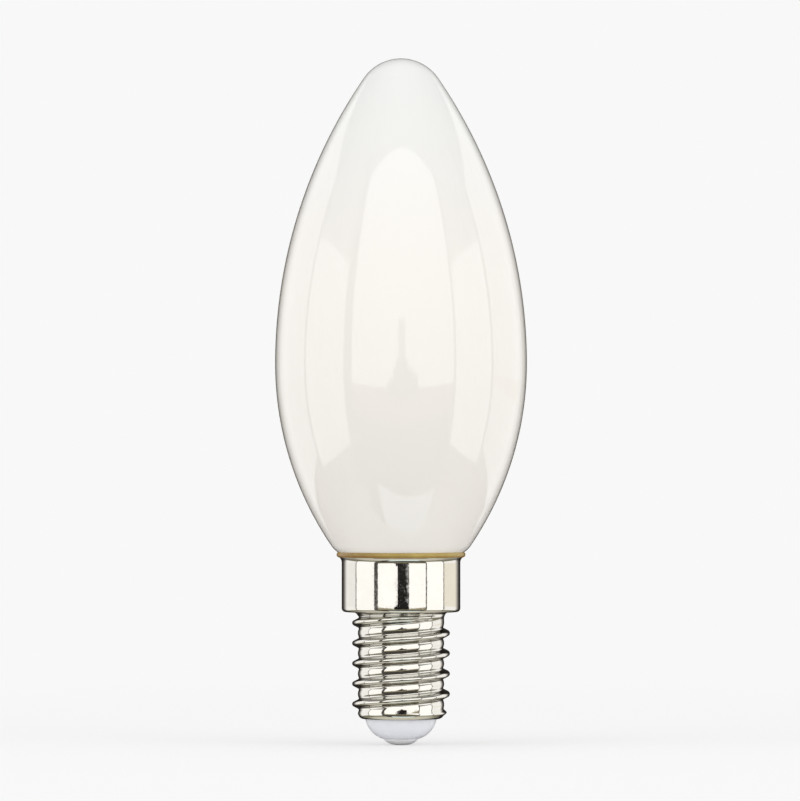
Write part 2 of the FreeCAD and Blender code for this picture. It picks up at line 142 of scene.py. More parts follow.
class CANDLE_PG_small_pieces(bpy.types.PropertyGroup):
    """Sizes of the cement, the insulator and the centre contact"""

    bead: length("Bead", "Radius of the cement's bead on the lip", 0.4 * MM)
    bead_end: turn("Bead end", "Angle at which the bead meets its flat top", 60)
    cement_overlap: length("Cement overlap", "How far the cement reaches into the neck", 0.2 * MM)
    cement_depth: length("Cement depth", "Depth of the cement under the lip at the neck", 1.6 * MM)
    collar_depth: length("Collar depth", "Depth of the cement under the lip at the collar", 1.2 * MM)
    foot_radius: length("Foot radius", "Radius of the insulator's flat foot", 2.5 * MM)
    dome_arc: length("Dome arc", "Radius of the insulator's dome", 3.5 * MM)
    dome_drop: length("Dome drop", "How far under the curl's centre the dome ends", 0.95 * MM)
    throat_gap: length("Throat gap", "Gap between the insulator and the curled edge", 0.07 * MM)
    seat_end: turn("Seat end", "Angle at which the flange leaves the curl", -45)
    shank: length("Shank", "Radius of the rivet's shank and of the hole for it", 0.75 * MM)
    head_flat: length("Head flat", "Radius of the flat on the rivet's head", 0.7 * MM)
    head_arc: length("Head arc", "Radius of the head's dome", 2.6 * MM)
    head_centre_radius: length("Head centre radius", "Radius at which the dome's centre stands", 0.585 * MM)
    head_centre_height: length("Head centre height", "Height of the dome's centre", 2.597 * MM)
    head_start: turn("Head start", "Angle at which the head's dome starts", -87.5)
    head_end: turn("Head end", "Angle at which the head's dome ends", -48.8)
    head_edge: length("Head edge", "Height at which the head's upright edge starts", 0.66 * MM)
    head_top: length("Head top", "Height of the head's upper face", 0.85 * MM)
    closed_head: length("Closed head", "Radius of the head that closes the rivet", 1.15 * MM)


class CANDLE_PG_finishes(bpy.types.PropertyGroup):
    """Colours of the finishes, and the heights at which they change"""

    glass: colour("Glass", "Milky glass near the tip", (0.815, 0.82, 0.80))
    glass_low: colour("Lower glass", "Milky glass near the collar", (0.865, 0.832, 0.785))
    # Painted shade: dark colour painted on the milky glass where it turns away from the eye
    glass_rim_shade: colour("Glass rim", "Milky glass where it turns away", (0.24, 0.21, 0.16))
    nickel: colour("Nickel", "Plated sheet of the cap", (0.70, 0.69, 0.655))
    nickel_dull: colour("Dull nickel", "Plated sheet where the plating is thinner", (0.61, 0.595, 0.545))
    # Painted shade: dark colour painted on the nickel where it turns away from the eye, in place of dark
    # reflections
    nickel_rim_shade: colour("Nickel rim", "Plated sheet where it turns away", (0.085, 0.068, 0.045))
    cement: colour("Cement", "Baked cement at the lip", (0.52, 0.39, 0.10))
    cement_dark: colour("Dark cement", "Cement where it is burnt", (0.25, 0.135, 0.022))
    insulator: colour("Insulator", "Pressed insulator", (0.895, 0.905, 0.955))
    contact: colour("Contact", "Tinned centre contact", (0.92, 0.925, 0.945))
    lower_glass_to: length("Lower glass up to", "Height up to which the glass has its lower colour", 60 * MM)
    upper_glass_from: length("Upper glass from", "Height from which the glass has its upper colour", 95 * MM)
    # The cement is darker below this height, towards the lip
    darkened_to: length("Burnt up to", "Height up to which the cement is burnt", 26.05 * MM)
    amber_from: length("Amber from", "Height from which the cement is amber", 26.7 * MM)


class CANDLE_PG_studio(bpy.types.PropertyGroup):
    """The camera, the panels and the backdrop"""

    distance: length("Camera distance", "Distance of the camera from the lamp's axis", 1.2)
    camera_height: length("Camera height", "Height of the camera over the floor", 47.86 * MM)
    camera_side: bpy.props.FloatProperty(
        name="Camera side",
        description="How far the camera stands to the right",
        default=-0.14 * MM,
        unit="LENGTH",
    )
    view: length("View", "Height of the view at the lamp", 111.34 * MM)
    fill: bpy.props.FloatProperty(
        name="Fill", description="Brightness of the room on the lamp", default=0.75, min=0.0
    )
    backdrop: bpy.props.FloatProperty(
        name="Backdrop", description="Brightness of the backdrop as seen", default=0.939, min=0.0
    )


# Outlines and turned pieces


def arc(centre_radius, centre_height, radius, first, last, steps):
    """Points of an arc of the outline, from one angle to another in radians."""
    angles = [first + (last - first) * step / steps for step in range(steps + 1)]
    return [(centre_radius + radius * math.cos(a), centre_height + radius * math.sin(a)) for a in angles]


def run(first, last, steps):
    """Points of a straight of the outline."""
    ratios = [step / steps for step in range(steps + 1)]
    return [(first[0] + (last[0] - first[0]) * t, first[1] + (last[1] - first[1]) * t) for t in ratios]


def joined(*runs):
    """One outline from several runs, each point once."""
    outline = []
    for points in runs:
        for point in points:
            if not outline or math.dist(point, outline[-1]) > MERGE_DISTANCE:
                outline.append(point)
    return outline


def rest_all():
    """Leaves edit mode and selects nothing."""
    if bpy.context.object and bpy.context.object.mode != "OBJECT":
        bpy.ops.object.mode_set(mode="OBJECT")
    bpy.ops.object.select_all(action="DESELECT")


def turned(name, outline, steps, smooth_angle):
    """A piece turned about the lamp's axis: one vertex is extruded along the outline and spun."""
    rest_all()
    bpy.ops.mesh.primitive_plane_add(size=MM, location=(0, 0, 0))
    piece = bpy.context.object
    piece.name = name
    piece.data.name = name
    bpy.ops.object.mode_set(mode="EDIT")
    bpy.ops.mesh.select_all(action="SELECT")
    bpy.ops.mesh.merge(type="CENTER")
    bpy.ops.transform.translate(value=(outline[0][0], 0, outline[0][1]))
    for start, end in zip(outline, outline[1:]):
        step = {"value": (end[0] - start[0], 0, end[1] - start[1])}
        bpy.ops.mesh.extrude_region_move(TRANSFORM_OT_translate=step)
    bpy.ops.mesh.select_all(action="SELECT")
    bpy.ops.mesh.spin(steps=steps, angle=FULL_TURN, center=(0, 0, 0), axis=(0, 0, 1))
    bpy.ops.mesh.select_all(action="SELECT")
    bpy.ops.mesh.remove_doubles(threshold=MERGE_DISTANCE)
    bpy.ops.mesh.normals_make_consistent(inside=False)
    bpy.ops.object.mode_set(mode="OBJECT")
    bpy.ops.object.shade_smooth_by_angle(angle=smooth_angle)
    return piece


def dress(piece, material, node):
    """Gives a finished piece its material and its place in the frame."""
    piece.data.materials.clear()
    piece.data.materials.append(material)
    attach(piece, "root")
    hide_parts(node)


# Materials


def add_node(tree, kind, place, **settings):
    node = tree.nodes.new(kind)
    node.location = place
    for key, value in settings.items():
        setattr(node, key, value)
    return node


def bare_material(name):
    """A material with an output alone, its tree and the socket for its surface."""
    material = bpy.data.materials.new(name)
    material.use_nodes = True
    tree = material.node_tree
    tree.nodes.clear()
    output = add_node(tree, "ShaderNodeOutputMaterial", (700, 0))
    return material, tree, output.inputs["Surface"]


def plain_material(name):
    """A material with a Principled shader, its tree, that shader and the piece's own coordinates."""
    material, tree, surface = bare_material(name)
    shader = add_node(tree, "ShaderNodeBsdfPrincipled", (300, 0))
    tree.links.new(shader.outputs["BSDF"], surface)
    where = add_node(tree, "ShaderNodeTexCoord", (-1100, 0)).outputs["Object"]
    return material, tree, shader, where


def rgba(values):
    return (values[0], values[1], values[2], 1.0)


def darker(tint, share):
    return [value * share for value in tint]


def ramp(tree, place, value, start, end, low=0.0, high=1.0, kind="SMOOTHSTEP"):
    """A node that goes from low to high as a value goes from start to end."""
    node = add_node(tree, "ShaderNodeMapRange", place, interpolation_type=kind)
    node.inputs["From Min"].default_value = start
    node.inputs["From Max"].default_value = end
    node.inputs["To Min"].default_value = low
    node.inputs["To Max"].default_value = high
    tree.links.new(value, node.inputs["Value"])
    return node


def new_group(name, inputs, outputs):
    """A shader group with named inputs and outputs, and its two end nodes."""
    group = bpy.data.node_groups.new(name, "ShaderNodeTree")
    for way, sockets in (("INPUT", inputs), ("OUTPUT", outputs)):
        for socket, kind in sockets:
            group.interface.new_socket(socket, in_out=way, socket_type="NodeSocket" + kind)
    start = add_node(group, "NodeGroupInput", (-800, 0))
    end = add_node(group, "NodeGroupOutput", (500, 0))
    return group, start, end


def cloud_group():
    """Soft clouds between two colours, on the piece's own coordinates."""
    name = "soft_clouds"
    if name in bpy.data.node_groups:
        return bpy.data.node_groups[name]
    colours = (("Light", "Color"), ("Dark", "Color"))
    numbers = (("Scale", "Float"), ("Bias", "Float"), ("Contrast", "Float"))
    inputs = (("Vector", "Vector"), *colours, *numbers)
    group, start, end = new_group(name, inputs, (("Colour", "Color"),))
    noise = add_node(group, "ShaderNodeTexNoise", (-500, 100))
    noise.inputs["Detail"].default_value = 4.0
    noise.inputs["Roughness"].default_value = 0.55
    centred = add_node(group, "ShaderNodeMath", (-300, 100), operation="SUBTRACT")
    centred.inputs[1].default_value = 0.5
    spread = add_node(group, "ShaderNodeMath", (-120, 100), operation="MULTIPLY")
    mask = add_node(group, "ShaderNodeMath", (60, 100), operation="ADD", use_clamp=True)
    mix = add_node(group, "ShaderNodeMix", (260, 0), data_type="RGBA")
    link = group.links.new
    link(start.outputs["Vector"], noise.inputs["Vector"])
    link(start.outputs["Scale"], noise.inputs["Scale"])
    link(noise.outputs["Fac"], centred.inputs[0])
    link(centred.outputs[0], spread.inputs[0])
    link(start.outputs["Contrast"], spread.inputs[1])
    link(spread.outputs[0], mask.inputs[0])
    link(start.outputs["Bias"], mask.inputs[1])
    link(mask.outputs[0], mix.inputs["Factor"])
    link(start.outputs["Light"], mix.inputs["A"])
    link(start.outputs["Dark"], mix.inputs["B"])
    link(mix.outputs["Result"], end.inputs["Colour"])
    return group


def speckle_group():
    """Fine specks of handling wear: a roughness between two values and a height for a bump."""
    name = "fine_specks"
    if name in bpy.data.node_groups:
        return bpy.data.node_groups[name]
    inputs = (("Vector", "Vector"), ("Scale", "Float"), ("Smooth", "Float"), ("Rough", "Float"))
    group, start, end = new_group(name, inputs, (("Roughness", "Float"), ("Height", "Float")))
    noise = add_node(group, "ShaderNodeTexNoise", (-450, 100))
    noise.inputs["Detail"].default_value = 6.0
    specks = ramp(group, (-200, 100), noise.outputs["Fac"], start=0.45, end=0.75)
    mix = add_node(group, "ShaderNodeMix", (150, 0), data_type="FLOAT")
    link = group.links.new
    link(start.outputs["Vector"], noise.inputs["Vector"])
    link(start.outputs["Scale"], noise.inputs["Scale"])
    link(specks.outputs["Result"], mix.inputs["Factor"])
    link(start.outputs["Smooth"], mix.inputs["A"])
    link(start.outputs["Rough"], mix.inputs["B"])
    link(mix.outputs["Result"], end.inputs["Roughness"])
    link(noise.outputs["Fac"], end.inputs["Height"])
    return group


def place_group(tree, group, place, vector, **values):
    """A group's node in a material, reading the piece's coordinates, with its own values."""
    node = add_node(tree, "ShaderNodeGroup", place, node_tree=group)
    tree.links.new(vector, node.inputs["Vector"])
    for key, value in values.items():
        node.inputs[key].default_value = value
    return node


def clouded(tree, where, light, dark, **values):
    """The node of soft clouds between two colours in a material."""
    colours = {"Light": rgba(light), "Dark": rgba(dark)}
    return place_group(tree, cloud_group(), (-450, 100), where, **colours, **values)


def speckled(tree, shader, where, strength, depth, **values):
    """Gives a shader the roughness of fine specks and a faint bump."""
    specks = place_group(tree, speckle_group(), (-450, -200), where, **values)
    bump = add_node(tree, "ShaderNodeBump", (-100, -300))
    bump.inputs["Strength"].default_value = strength
    bump.inputs["Distance"].default_value = depth
    tree.links.new(specks.outputs["Roughness"], shader.inputs["Roughness"])
    tree.links.new(specks.outputs["Height"], bump.inputs["Height"])
    tree.links.new(bump.outputs["Normal"], shader.inputs["Normal"])


def painted_rim_shade(tree, shader, colour, rim_shade_colour, start, end):
    """Gives a shader a colour, and paints a darker shade colour where the surface turns away from the eye:
    painted shade and painted dark reflection at the rim.
    """
    # Painted shade: the base colour turns to the rim shade colour as the surface turns away from the eye
    facing_away = add_node(tree, "ShaderNodeLayerWeight", (-450, 400))
    rim = ramp(tree, (-250, 400), facing_away.outputs["Facing"], start, end)
    body = add_node(tree, "ShaderNodeMix", (0, 200), data_type="RGBA")
    body.inputs["B"].default_value = rgba(rim_shade_colour)
    tree.links.new(rim.outputs["Result"], body.inputs["Factor"])
    tree.links.new(colour, body.inputs["A"])
    tree.links.new(body.outputs["Result"], shader.inputs["Base Color"])


def height_of(tree, where):
    """The socket that gives the height of a place or of a direction."""
    split = add_node(tree, "ShaderNodeSeparateXYZ", (-900, -250))
    tree.links.new(where, split.inputs["Vector"])
    return split.outputs["Z"]


def frosted_glass(finishes):
    """Milky glass under a clear polished skin, warmer towards the collar, with painted shade where it turns
    away from the eye.
    """
    material, tree, shader, where = plain_material("frosted_glass")
    clouds = clouded(tree, where, finishes.glass, finishes.glass_low, Scale=45.0, Contrast=0.25)
    start, end = finishes.lower_glass_to, finishes.upper_glass_from
    height = height_of(tree, where)
    rise = ramp(tree, (-700, -250), height, start, end)
    fall = add_node(tree, "ShaderNodeMath", (-650, -50), operation="SUBTRACT")
    fall.inputs[0].default_value = 1.0
    tree.links.new(rise.outputs["Result"], fall.inputs[1])
    tree.links.new(fall.outputs[0], clouds.inputs["Bias"])
    # Painted shade darkens the glass's colour towards its outline
    painted_rim_shade(tree, shader, clouds.outputs["Colour"], finishes.glass_rim_shade, start=0.79, end=0.96)
    shader.inputs["Roughness"].default_value = 0.03
    shader.inputs["IOR"].default_value = 1.6
    return material


def nickel_plate(finishes):
    """Bright nickel on drawn sheet, with painted shade where it turns away from the eye, and faint clouds
    and specks.
    """
    material, tree, shader, where = plain_material("nickel_plate")
    plate, dull = finishes.nickel, finishes.nickel_dull
    clouds = clouded(tree, where, plate, dull, Scale=500.0, Bias=0.15, Contrast=0.8)
    # Painted shade and painted dark reflection on the thread's flanks and the collar's sides
    painted_rim_shade(tree, shader, clouds.outputs["Colour"], finishes.nickel_rim_shade, start=0.56, end=0.73)
    specks = {"Scale": 2600.0, "Smooth": 0.05, "Rough": 0.16}
    speckled(tree, shader, where, strength=0.138, depth=0.01 * MM, **specks)
    shader.inputs["Metallic"].default_value = 1.0
    return material


def baked_cement(finishes):
    """Amber cement, darker low down towards the lip, with a slightly pitted face."""
    material, tree, shader, where = plain_material("baked_cement")
    clouds = clouded(tree, where, finishes.cement, finishes.cement_dark, Scale=70.0, Contrast=5.0)
    start, end = finishes.darkened_to, finishes.amber_from
    height = height_of(tree, where)
    # The cement is darker low down on the bead, towards the lip, and amber higher up
    darkened = ramp(tree, (-700, -50), height, start, end, low=0.95, high=0.2, kind="LINEAR")
    tree.links.new(darkened.outputs["Result"], clouds.inputs["Bias"])
    tree.links.new(clouds.outputs["Colour"], shader.inputs["Base Color"])
    specks = {"Scale": 1800.0, "Smooth": 0.3, "Rough": 0.6}
    speckled(tree, shader, where, strength=0.5, depth=0.06 * MM, **specks)
    return material


def white_insulator(finishes):
    """Pressed white insulator with a cool cast and a soft gloss."""
    material, tree, shader, where = plain_material("white_insulator")
    light, dark = finishes.insulator, darker(finishes.insulator, 0.93)
    clouds = clouded(tree, where, light, dark, Scale=160.0, Bias=0.3, Contrast=0.35)
    tree.links.new(clouds.outputs["Colour"], shader.inputs["Base Color"])
    specks = {"Scale": 1500.0, "Smooth": 0.22, "Rough": 0.34}
    speckled(tree, shader, where, strength=0.08, depth=0.01 * MM, **specks)
    shader.inputs["Specular IOR Level"].default_value = 0.15
    return material


def tinned_contact(finishes):
    """A tinned contact, dull and uneven from the solder."""
    material, tree, shader, where = plain_material("tinned_contact")
    light, dark = finishes.contact, darker(finishes.contact, 0.88)
    clouds = clouded(tree, where, light, dark, Scale=900.0, Bias=0.3, Contrast=1.8)
    tree.links.new(clouds.outputs["Colour"], shader.inputs["Base Color"])
    specks = {"Scale": 2200.0, "Smooth": 0.28, "Rough": 0.5}
    speckled(tree, shader, where, strength=0.5, depth=0.04 * MM, **specks)
    shader.inputs["Metallic"].default_value = 0.1
    shader.inputs["Specular IOR Level"].default_value = 0.2
    return material


# The glass


def flank_radius(widest, centre, radius):
    """The radius of a flank with its centre level with the widest place, tangent to a smaller arc."""
    across, up = widest[0] - centre[0], widest[1] - centre[1]
    return (across**2 + up**2 - radius**2) / (2 * (across - radius))


def glass_outline(sizes):
    """The glass from the foot of its neck to its tip, in tangent arcs."""
    widest = (sizes.radius, sizes.widest)
    tip = (0.0, sizes.top - sizes.tip_arc)
    seat = (sizes.seat_centre_radius, sizes.seat_centre_height)
    upper = flank_radius(widest, tip, sizes.tip_arc)
    lower = flank_radius(widest, seat, sizes.seat_arc)
    upper_centre, lower_centre = widest[0] - upper, widest[0] - lower
    tip_angle = math.atan2(tip[1] - widest[1], tip[0] - upper_centre)
    seat_angle = math.atan2(seat[1] - widest[1], seat[0] - lower_centre)
    fillet_radius = sizes.neck_radius + sizes.neck_fillet
    drop = math.sqrt((sizes.seat_arc + sizes.neck_fillet) ** 2 - (fillet_radius - seat[0]) ** 2)
    fillet = (fillet_radius, seat[1] - drop)
    under = math.atan2(fillet[1] - seat[1], fillet[0] - seat[0])
    return joined(
        run((0.0, sizes.neck_end), (sizes.neck_radius, sizes.neck_end), steps=6),
        run((sizes.neck_radius, sizes.neck_end), (sizes.neck_radius, fillet[1]), steps=6),
        arc(*fillet, sizes.neck_fillet, math.pi, under + math.pi, steps=12),
        arc(*seat, sizes.seat_arc, under, seat_angle, steps=16),
        arc(lower_centre, widest[1], lower, seat_angle, 0.0, steps=36),
        arc(upper_centre, widest[1], upper, 0.0, tip_angle, steps=48),
        arc(*tip, sizes.tip_arc, tip_angle, math.pi / 2, steps=24),
    )


class CANDLE_OT_glass(bpy.types.Operator):
    """Builds the milky glass"""

    bl_idname = "candle.glass"
    bl_label = "Glass"

    def execute(self, context):
        outline = glass_outline(context.scene.candle_glass)
        glass = turned("milky_glass", outline, steps=160, smooth_angle=math.radians(30))
        dress(glass, frosted_glass(context.scene.candle_finishes), "glass_bulb")
        return {"FINISHED"}


# The screw cap


def fade(ratio):
    """A smooth rise from 0 to 1."""
    ratio = min(max(ratio, 0.0), 1.0)
    return ratio * ratio * (3 - 2 * ratio)


def thread_section(sizes, along):
    """How far the thread stands out, by the distance along the axis from a crest to half a pitch."""
    half_pitch = sizes.pitch / 2
    depth = sizes.crest_radius - sizes.core_radius
    arcs = sizes.crest_arc + sizes.root_arc
    sine, cosine = math.sin(sizes.flank), math.cos(sizes.flank)
    valley_sine, valley_drop = math.sin(sizes.valley), 1 - math.cos(sizes.valley)
    across = half_pitch - arcs * sine - sizes.root_arc * valley_sine
    drop = depth - arcs * (1 - cosine) + sizes.root_arc * valley_drop
    valley_arc = (across * sine - drop * cosine) / (cosine * valley_drop + sine * valley_sine)
    root_along = half_pitch - (valley_arc + sizes.root_arc) * valley_sine
    if along <= sizes.crest_arc * sine:
        return depth - sizes.crest_arc + math.sqrt(sizes.crest_arc**2 - along**2)
    if along <= root_along - sizes.root_arc * sine:
        flank_top = depth - sizes.crest_arc * (1 - cosine)
        return flank_top - (along - sizes.crest_arc * sine) * math.tan(sizes.flank)
    if along <= root_along + sizes.root_arc * valley_sine:
        root_centre = (valley_arc + sizes.root_arc) * math.cos(sizes.valley) - valley_arc
        return root_centre - math.sqrt(sizes.root_arc**2 - (along - root_along) ** 2)
    return math.sqrt(valley_arc**2 - (half_pitch - along) ** 2) - valley_arc


def thread_rise(sizes, angle, height):
    """How far the thread stands out of the cap at an angle about the axis and a height."""
    turned_by = angle / FULL_TURN
    crests_up = (height - sizes.first_crest) / sizes.pitch - turned_by
    nearest = round(crests_up)
    turns_along = turned_by + nearest
    rise = thread_section(sizes, abs(crests_up - nearest) * sizes.pitch)
    rise *= fade((turns_along - sizes.run_in_start) / sizes.run_in_turns)
    rise *= fade((sizes.turns - turns_along) / sizes.run_out_turns)
    rise *= fade((height - sizes.band_bottom) / sizes.band_fade)
    return rise * fade((sizes.band_top - height) / sizes.band_fade)


def cap_outline(sizes):
    """The outer face of the sheet, from the curled edge up to the lip."""
    shoulder = sizes.core_radius + sizes.shoulder_arc
    step_height = sizes.shoulder_start + sizes.shoulder_arc
    corner_height = step_height + sizes.corner_arc
    corner = shoulder + sizes.step
    collar = corner + sizes.corner_arc
    curl_radius = sizes.core_radius - sizes.curl_arc
    flare_radius = collar + sizes.flare_arc
    lip_angle = math.pi - math.asin((sizes.lip - sizes.flare_start) / sizes.flare_arc)
    return joined(
        arc(curl_radius, sizes.curl_height, sizes.curl_arc, sizes.curl_end, 0.0, steps=18),
        run((sizes.core_radius, sizes.curl_height), (sizes.core_radius, sizes.shoulder_start), steps=190),
        arc(shoulder, sizes.shoulder_start, sizes.shoulder_arc, math.pi, math.pi / 2, steps=20),
        run((shoulder, step_height), (corner, step_height), steps=2),
        arc(corner, corner_height, sizes.corner_arc, -math.pi / 2, 0.0, steps=8),
        run((collar, corner_height), (collar, sizes.flare_start), steps=10),
        arc(flare_radius, sizes.flare_start, sizes.flare_arc, math.pi, lip_angle, steps=8),
    )


class CANDLE_OT_screw_cap(bpy.types.Operator):
    """Builds the screw cap: the drawn shell is spun, then its band is rolled out into the thread"""

    bl_idname = "candle.screw_cap"
    bl_label = "Screw cap"

    def execute(self, context):
        sizes = context.scene.candle_cap
        cap = turned("nickel_screw_cap", cap_outline(sizes), steps=160, smooth_angle=math.radians(60))
        for vertex in cap.data.vertices:
            x, y, height = vertex.co
            if not sizes.band_bottom < height < sizes.band_top:
                continue
            rise = thread_rise(sizes, math.atan2(y, x), height)
            vertex.co.xy *= 1 + rise / math.hypot(x, y)
        # The normals of the open spun shell point at the axis, so this offset puts the sheet inside it
        wall = cap.modifiers.new("sheet", "SOLIDIFY")
        wall.thickness = sizes.sheet
        wall.offset = 1.0
        bpy.context.view_layer.objects.active = cap
        bpy.ops.object.modifier_apply(modifier=wall.name)
        dress(cap, nickel_plate(context.scene.candle_finishes), "screw_cap")
        return {"FINISHED"}


# The small pieces


def cement_outline(cap, glass, small):
    """The bead of cement between the lip and the glass, closed inside the flare."""
    foot = (CEMENT_HIGH[0] - small.bead, cap.lip)
    bead_centre = (foot[0], foot[1] + small.bead)
    bead = arc(*bead_centre, small.bead, -math.pi / 2, small.bead_end, steps=12)
    collar = cap.core_radius + cap.shoulder_arc + cap.step + cap.corner_arc
    flare_arc = cap.flare_arc + cap.sheet
    flare_end = math.pi - math.asin((cap.lip - cap.flare_start) / flare_arc)
    flare = arc(collar + cap.flare_arc, cap.flare_start, flare_arc, math.pi, flare_end, steps=8)
    neck = glass.neck_radius - small.cement_overlap
    neck_bottom = (neck, cap.lip - small.cement_depth)
    collar_bottom = (flare[0][0], cap.lip - small.collar_depth)
    return joined(
        run(neck_bottom, collar_bottom, steps=2),
        run(collar_bottom, flare[0], steps=2),
        flare,
        run(flare[-1], foot, steps=2),
        bead,
        run(bead[-1], (neck, bead[-1][1]), steps=2),
        [neck_bottom],
    )


def bulge(first, last, radius, steps):
    """Points of an arc that swells to the right of the way from one point to another."""
    middle = ((first[0] + last[0]) / 2, (first[1] + last[1]) / 2)
    chord = math.dist(first, last)
    reach = math.sqrt(radius**2 - (chord / 2) ** 2) / chord
    centre = (middle[0] - (last[1] - first[1]) * reach, middle[1] + (last[0] - first[0]) * reach)
    start = math.atan2(first[1] - centre[1], first[0] - centre[0])
    end = math.atan2(last[1] - centre[1], last[0] - centre[0])
    return arc(*centre, radius, start, end, steps)


def insulator_outline(cap, small):
    """The insulator: a foot round the contact, a dome and the flange held by the curl."""
    bottom, top = INSULATOR_LOW[2], INSULATOR_HIGH[2]
    seat_arc = cap.curl_arc - cap.sheet
    curl_radius = cap.core_radius - cap.curl_arc
    throat = curl_radius + cap.curl_arc * math.cos(cap.curl_end) - small.throat_gap
    seat_foot = cap.curl_height + seat_arc * math.sin(cap.curl_end)
    foot = (small.foot_radius, bottom)
    throat_foot = (throat, cap.curl_height - small.dome_drop)
    seat = arc(curl_radius, cap.curl_height, seat_arc, cap.curl_end, small.seat_end, steps=10)
    flange = seat[-1][0]
    return joined(
        run((small.shank, bottom), foot, steps=3),
        bulge(foot, throat_foot, small.dome_arc, steps=16),
        run(throat_foot, (throat, seat_foot), steps=2),
        seat,
        run(seat[-1], (flange, top), steps=3),
        run((flange, top), (small.shank, top), steps=3),
        run((small.shank, top), (small.shank, bottom), steps=3),
    )


def contact_outline(small):
    """The rivet: a domed head on the foot, a shank, and the closed head on top."""
    rim, top = CONTACT_HIGH[0], CONTACT_HIGH[2]
    head_top, closed_from = small.head_top, INSULATOR_HIGH[2]
    centre = (small.head_centre_radius, small.head_centre_height)
    return joined(
        run((0.0, 0.0), (small.head_flat, 0.0), steps=2),
        arc(*centre, small.head_arc, small.head_start, small.head_end, steps=8),
        run((rim, small.head_edge), (rim, head_top), steps=1),
        run((rim, head_top), (small.shank, head_top), steps=2),
        run((small.shank, head_top), (small.shank, closed_from), steps=3),
        run((small.shank, closed_from), (small.closed_head, closed_from), steps=1),
        run((small.closed_head, closed_from), (small.closed_head, top), steps=1),
        run((small.closed_head, top), (0.0, top), steps=2),
    )


class CANDLE_OT_small_pieces(bpy.types.Operator):
    """Builds the cement, the insulator and the centre contact"""

    bl_idname = "candle.small_pieces"
    bl_label = "Cement, insulator and contact"

    def execute(self, context):
        scene = context.scene
        cap, small, finishes = scene.candle_cap, scene.candle_small_pieces, scene.candle_finishes
        outline = cement_outline(cap, scene.candle_glass, small)
        cement = turned("cement_bead", outline, steps=128, smooth_angle=math.radians(40))
        dress(cement, baked_cement(finishes), "basing_cement")
        outline = insulator_outline(cap, small)
        insulator = turned("insulator_dome", outline, steps=128, smooth_angle=math.radians(35))
        dress(insulator, white_insulator(finishes), "insulator")
        outline = contact_outline(small)
        contact = turned("contact_rivet", outline, steps=96, smooth_angle=math.radians(35))
        dress(contact, tinned_contact(finishes), "centre_contact")
        return {"FINISHED"}


# The studio

# The floor's radii in metres and the width of the camera's sensor in millimetres
FLOOR_RADIUS = 8.0
FLOOR_MIDDLE = 0.2
SENSOR_WIDTH = 36.0
# The room as gloss shows it: places from 0, straight down, to 1, straight up, and colours
ROOM_LEVELS = (
    (0.0, (0.80, 0.77, 0.66)),
    (0.12, (0.72, 0.69, 0.57)),
    (0.20, (0.30, 0.28, 0.21)),
    (0.42, (0.30, 0.28, 0.21)),
    (0.47, (0.939, 0.939, 0.939)),
    (0.62, (0.939, 0.939, 0.939)),
    (0.72, (0.45, 0.45, 0.43)),
    (0.88, (0.25, 0.25, 0.23)),
    (1.0, (0.30, 0.30, 0.27)),
)
# Tints of the cards
WARM = (1.0, 0.985, 0.965)
PALE = (1.0, 0.985, 0.97)
TAN = (1.0, 0.94, 0.82)
OLIVE = (1.0, 0.89, 0.58)
DARK = (1.0, 0.92, 0.84)
COOL = (0.86, 1.0, 0.96)
# Cards that show in gloss alone: name, azimuths and elevations in degrees, distance, brightness, tint
CARDS = (
    ("front_panel", -47.0, 49.4, -8.3, 52.5, 0.70, 1.5, WARM),
    ("front_table", -47.0, 49.4, -21.0, -8.3, 0.70, 0.42, OLIVE),
    ("front_dark", -47.0, 49.4, -62.0, -21.0, 0.70, 0.08, DARK),
    ("low_card", -30.0, 46.0, -64.0, -48.5, 0.60, 1.2, COOL),
    ("left_panel", -97.0, -52.7, -27.0, 23.0, 0.70, 1.45, WARM),
    ("right_panel", 51.4, 90.5, -27.0, 23.0, 0.70, 1.5, WARM),
    ("left_back_panel", -138.0, -99.0, -23.0, 33.0, 0.70, 1.27, PALE),
    ("right_back_panel", 92.6, 138.0, -23.0, 33.0, 0.70, 1.27, PALE),
    ("left_back_band", -138.0, -99.0, -5.6, -2.1, 0.60, 1.2, WARM),
    ("right_back_band", 92.6, 138.0, -5.6, -2.1, 0.60, 1.15, TAN),
    ("left_back_edge", -146.0, -138.0, -23.0, 33.0, 0.70, 0.9, PALE),
    ("right_back_edge", 138.0, 146.0, -23.0, 33.0, 0.70, 0.9, PALE),
    ("left_gap", -53.5, -45.5, -40.0, 60.0, 0.75, 0.1, DARK),
    ("right_gap", 49.0, 51.8, -40.0, 60.0, 0.75, 0.1, DARK),
    ("left_back_gap", -99.4, -96.6, -40.0, 45.0, 0.75, 0.1, DARK),
    ("right_back_gap", 90.2, 93.0, -40.0, 45.0, 0.75, 0.1, DARK),
    ("left_edge", -153.0, -145.5, -50.0, 60.0, 0.60, 0.30, DARK),
    ("right_edge", 145.5, 153.0, -50.0, 60.0, 0.60, 0.30, DARK),
    ("left_flag", -180.0, -153.0, -50.0, 60.0, 0.60, 0.05, DARK),
    ("right_flag", 153.0, 180.0, -50.0, 60.0, 0.60, 0.05, DARK),
    ("camera_stand", -13.0, 15.5, -12.0, -6.4, 0.60, 0.02, DARK),
    ("camera_shelf", -10.0, 14.8, -6.4, -4.6, 0.60, 0.02, DARK),
    ("camera_body", -6.5, 15.5, -4.6, -3.1, 0.60, 0.02, DARK),
    ("camera_head", -7.0, 11.0, -3.1, -1.2, 0.60, 0.03, DARK),
    ("camera_top", -4.5, 6.5, -1.2, 1.6, 0.60, 0.05, DARK),
    ("camera_mast", -2.2, 3.9, 1.6, 11.3, 0.60, 0.25, DARK),
)
